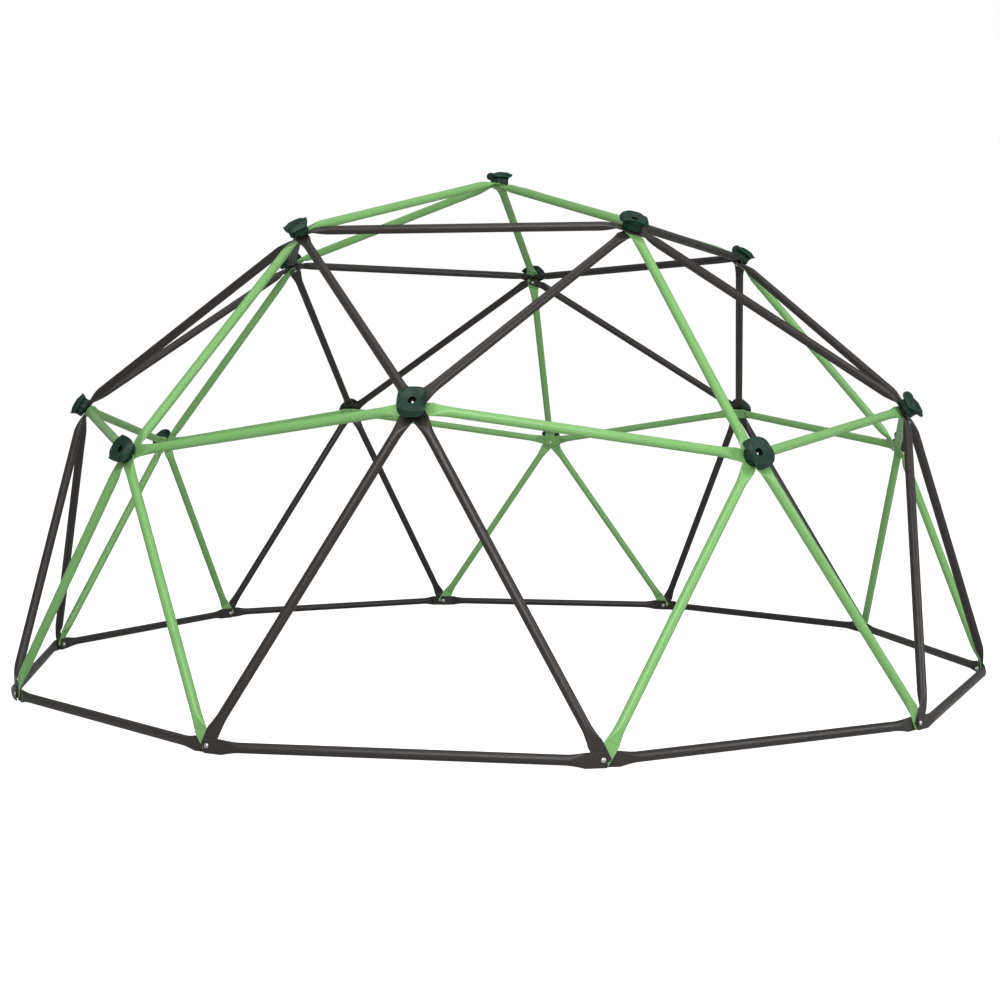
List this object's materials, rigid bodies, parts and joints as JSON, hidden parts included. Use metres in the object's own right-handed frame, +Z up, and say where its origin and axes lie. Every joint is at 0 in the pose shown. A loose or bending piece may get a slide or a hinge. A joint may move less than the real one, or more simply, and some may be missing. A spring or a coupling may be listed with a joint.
{
  "type": "dome climber",
  "caption": "Hemispherical geodesic dome climber of straight tube struts bolted at flattened ends, with oblong hand knobs at the raised joints.",
  "frame": {"origin": "on the ground under the top joint, which is the centre of the ring of ground joints", "axes": "+Z up; a base rail between two ground joints faces -Y; the ten ground joints lie at every 36 degrees from +X"},
  "size_m": [3.0684, 2.9502, 1.5861],
  "materials": {
    "green_powder_coat": "satin powder coat",
    "bronze_powder_coat": "satin powder coat with a fine metallic bronze",
    "knob_plastic": "fine-grained moulded plastic",
    "zinc_plated_steel": "bright zinc plate"
  },
  "bodies": {
    "root": {"apex_strut_1": "green_powder_coat", "apex_strut_2": "green_powder_coat", "apex_strut_3": "green_powder_coat", "apex_strut_4": "green_powder_coat", "apex_strut_5": "green_powder_coat", "upper_ring_strut_1": "bronze_powder_coat", "upper_ring_strut_2": "bronze_powder_coat", "upper_ring_strut_3": "bronze_powder_coat", "upper_ring_strut_4": "bronze_powder_coat", "upper_ring_strut_5": "bronze_powder_coat", "rib_strut_1": "green_powder_coat", "rib_strut_2": "green_powder_coat", "rib_strut_3": "green_powder_coat", "rib_strut_4": "green_powder_coat", "rib_strut_5": "green_powder_coat", "diagonal_pair_1": "bronze_powder_coat", "diagonal_pair_2": "bronze_powder_coat", "diagonal_pair_3": "bronze_powder_coat", "diagonal_pair_4": "bronze_powder_coat", "diagonal_pair_5": "bronze_powder_coat", "middle_ring_strut_1": "green_powder_coat", "middle_ring_strut_2": "green_powder_coat", "middle_ring_strut_3": "green_powder_coat", "middle_ring_strut_4": "green_powder_coat", "middle_ring_strut_5": "green_powder_coat", "middle_ring_strut_6": "green_powder_coat", "middle_ring_strut_7": "green_powder_coat", "middle_ring_strut_8": "green_powder_coat", "middle_ring_strut_9": "green_powder_coat", "middle_ring_strut_10": "green_powder_coat", "rib_leg_pair_1": "green_powder_coat", "rib_leg_pair_2": "green_powder_coat", "rib_leg_pair_3": "green_powder_coat", "rib_leg_pair_4": "green_powder_coat", "rib_leg_pair_5": "green_powder_coat", "face_leg_pair_1": "bronze_powder_coat", "face_leg_pair_2": "bronze_powder_coat", "face_leg_pair_3": "bronze_powder_coat", "face_leg_pair_4": "bronze_powder_coat", "face_leg_pair_5": "bronze_powder_coat", "base_rail_1": "bronze_powder_coat", "base_rail_2": "bronze_powder_coat", "base_rail_3": "bronze_powder_coat", "base_rail_4": "bronze_powder_coat", "base_rail_5": "bronze_powder_coat", "base_rail_6": "bronze_powder_coat", "base_rail_7": "bronze_powder_coat", "base_rail_8": "bronze_powder_coat", "base_rail_9": "bronze_powder_coat", "base_rail_10": "bronze_powder_coat", "apex_knob": "knob_plastic", "upper_ring_knobs": "knob_plastic", "rib_knobs": "knob_plastic", "face_knobs": "knob_plastic", "knob_inserts": "zinc_plated_steel", "hub_bolts": "zinc_plated_steel", "base_bolts": "zinc_plated_steel", "base_nuts": "zinc_plated_steel"}
  },
  "joints": []
}
